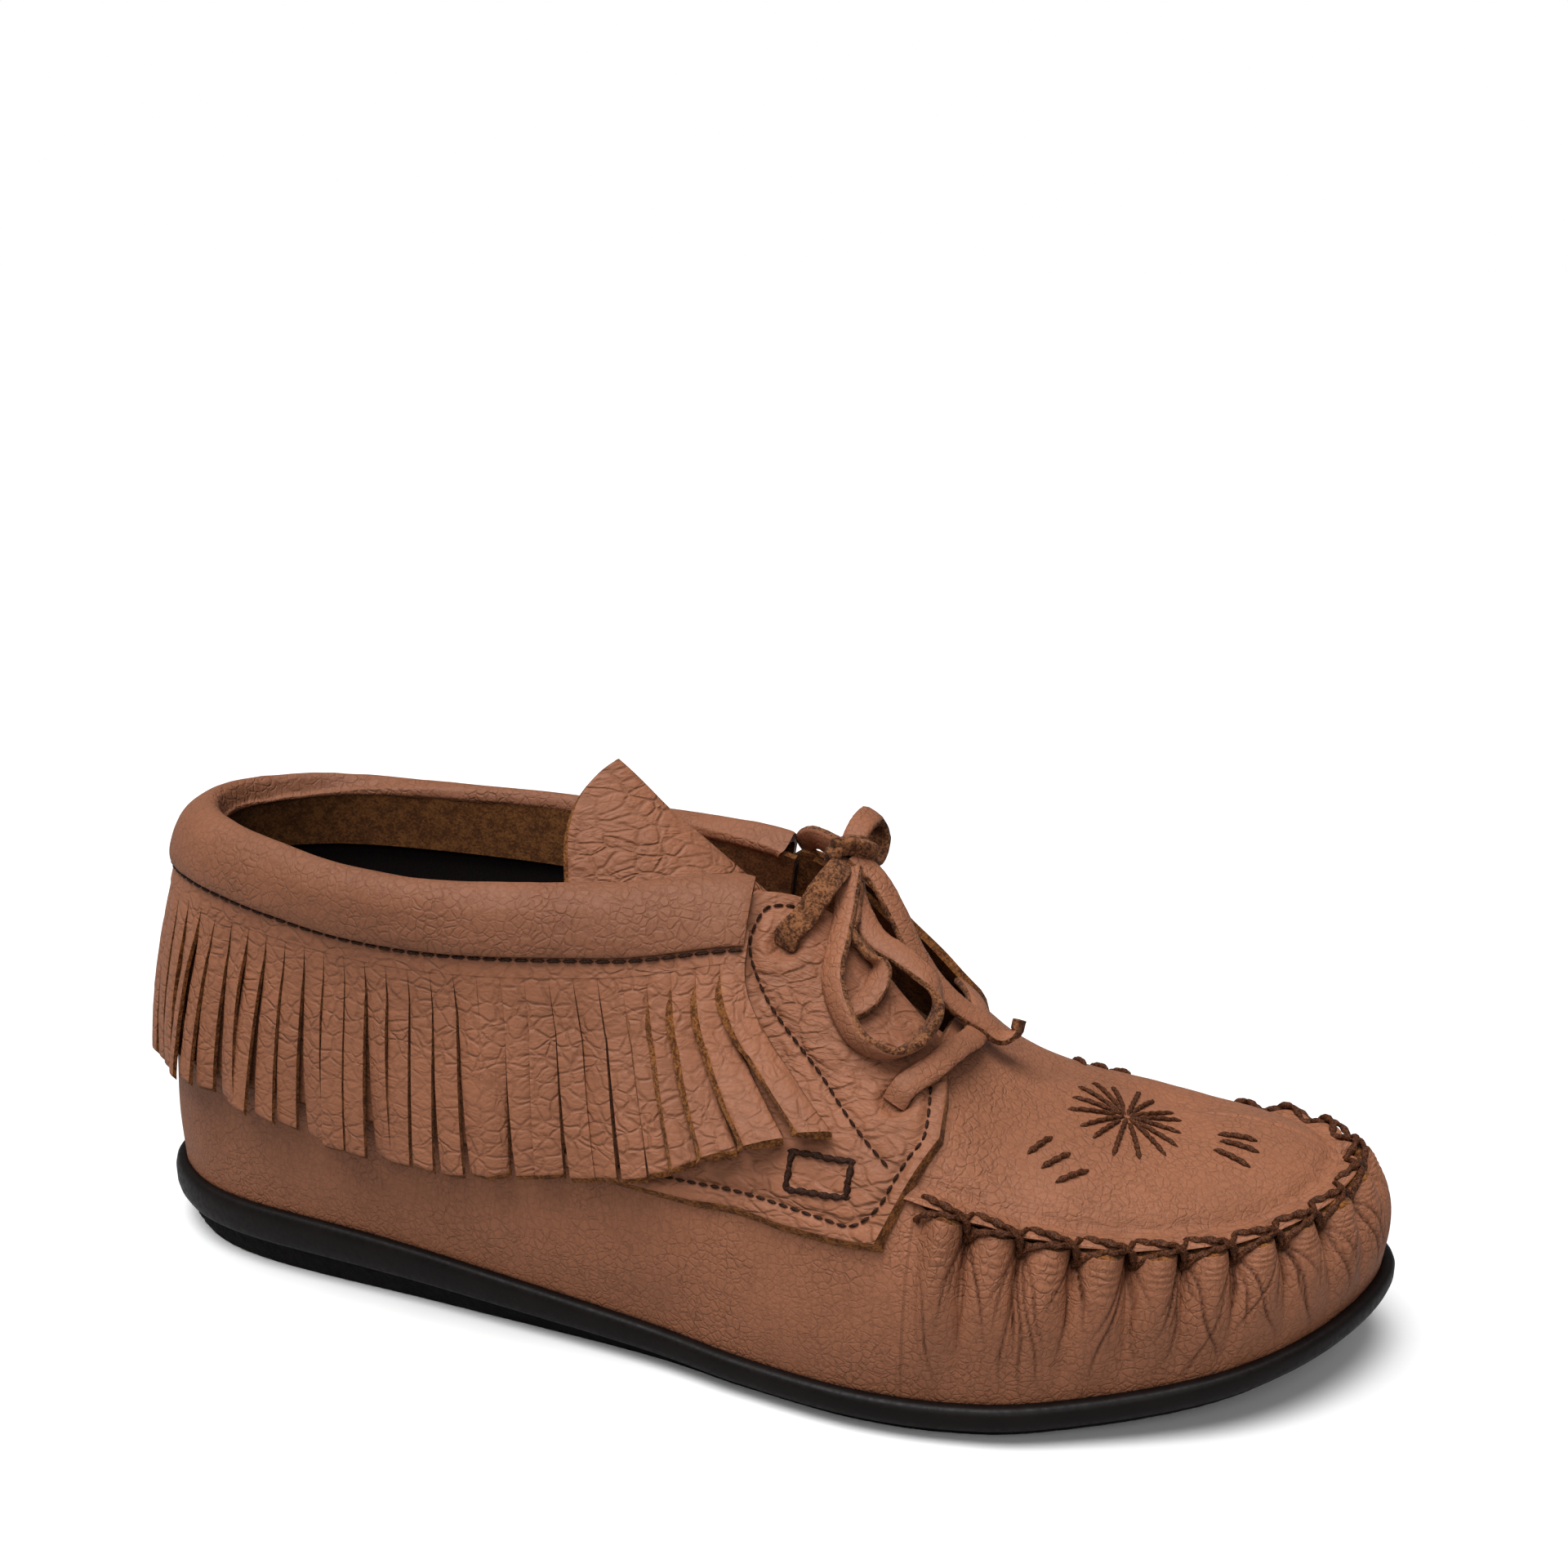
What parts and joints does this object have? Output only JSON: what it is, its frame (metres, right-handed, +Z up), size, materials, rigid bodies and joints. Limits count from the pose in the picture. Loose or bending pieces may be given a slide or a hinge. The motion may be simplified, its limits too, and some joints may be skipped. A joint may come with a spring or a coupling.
{
  "type": "moccasin",
  "caption": "Ankle-high moccasin boot for the right foot with a gathered toe, fringe under a rolled collar, a laced front with a bow, and a rubber sole",
  "frame": {"origin": "on the ground, on the flat part of the tread, half way along the sole", "axes": "+X to the toe, +Y to the inner side of the foot, +Z up"},
  "size_m": [0.2622, 0.0934, 0.1073],
  "materials": {
    "leather": "soft pebbled tan leather, satin",
    "suede": "raw flesh side, matt and fuzzy",
    "lining": "dark brushed lining, matt",
    "rubber": "moulded dark brown rubber, low sheen",
    "thread": "dark brown waxed thread"
  },
  "bodies": {
    "shoe": {"outsole_tread": "rubber", "outsole_rim": "rubber", "insole_board": "suede", "footbed": "lining", "wrap": "leather", "plug": "leather", "plug_seam_cord": "thread", "back_seam": "suede", "collar_cuff": "leather", "collar_facing": "suede", "ankle_lining": "lining", "fringe_header": "leather", "collar_thread": "thread", "embroidery_star": "thread", "dash_toe_1": "thread", "dash_toe_2": "thread", "dash_toe_3": "thread", "dash_outer_1": "thread", "dash_outer_2": "thread", "dash_outer_3": "thread", "dash_inner_1": "thread", "dash_inner_2": "thread", "dash_inner_3": "thread", "quarter_outer": "leather", "eyestay_outer": "suede", "quarter_thread_outer": "thread", "eyestay_thread_outer": "thread", "box_tack_outer": "thread", "quarter_inner": "leather", "eyestay_inner": "suede", "quarter_thread_inner": "thread", "eyestay_thread_inner": "thread", "box_tack_inner": "thread", "bow_knot": "suede", "lace_bar": "leather", "lace_upper_outer": "leather", "lace_upper_inner": "leather", "bow_loop_outer": "leather", "bow_loop_inner": "leather", "lace_tail_long": "leather", "lace_tail_short": "leather"},
    "tongue": {"tongue": "leather"},
    "fringe_outer_1": {"fringe_outer_1": "leather"},
    "fringe_outer_2": {"fringe_outer_2": "leather"},
    "fringe_outer_3": {"fringe_outer_3": "leather"},
    "fringe_outer_4": {"fringe_outer_4": "leather"},
    "fringe_inner_1": {"fringe_inner_1": "leather"},
    "fringe_inner_2": {"fringe_inner_2": "leather"},
    "fringe_inner_3": {"fringe_inner_3": "leather"},
    "fringe_inner_4": {"fringe_inner_4": "leather"}
  },
  "joints": [
    {"name": "fringe_outer_1_swing", "type": "hinge", "parent": "shoe", "child": "fringe_outer_1", "pos_m": [-0.12059, -0.00867, 0.07975], "axis": [-0.4694, 0.883, 0], "range_deg": [0, 30]},
    {"name": "fringe_outer_2_swing", "type": "hinge", "parent": "shoe", "child": "fringe_outer_2", "pos_m": [-0.10115, -0.02408, 0.07945], "axis": [-0.9219, 0.3874, 0], "range_deg": [0, 30]},
    {"name": "fringe_outer_3_swing", "type": "hinge", "parent": "shoe", "child": "fringe_outer_3", "pos_m": [-0.06385, -0.0326, 0.07716], "axis": [-0.9935, 0.1139, 0], "range_deg": [0, 30]},
    {"name": "fringe_outer_4_swing", "type": "hinge", "parent": "shoe", "child": "fringe_outer_4", "pos_m": [-0.01471, -0.03037, 0.0805], "axis": [-0.9831, -0.1833, 0], "range_deg": [0, 30]},
    {"name": "fringe_inner_1_swing", "type": "hinge", "parent": "shoe", "child": "fringe_inner_1", "pos_m": [-0.12111, 0.01147, 0.07958], "axis": [0.4541, 0.8909, 0], "range_deg": [0, 30]},
    {"name": "fringe_inner_2_swing", "type": "hinge", "parent": "shoe", "child": "fringe_inner_2", "pos_m": [-0.10165, 0.02777, 0.0791], "axis": [0.9253, 0.3792, 0], "range_deg": [0, 30]},
    {"name": "fringe_inner_3_swing", "type": "hinge", "parent": "shoe", "child": "fringe_inner_3", "pos_m": [-0.06249, 0.03327, 0.07725], "axis": [0.9992, 0.039, 0], "range_deg": [0, 30]},
    {"name": "fringe_inner_4_swing", "type": "hinge", "parent": "shoe", "child": "fringe_inner_4", "pos_m": [-0.01594, 0.03016, 0.07767], "axis": [0.9857, -0.1683, 0], "range_deg": [0, 30]},
    {"name": "tongue_tilt", "type": "hinge", "parent": "shoe", "child": "tongue", "pos_m": [0.049, 0.007, 0.0495], "axis": [0, -1, 0], "range_deg": [0, 10], "stiffness_Nm_per_rad": 0.05, "springref_deg": -3.44}
  ]
}
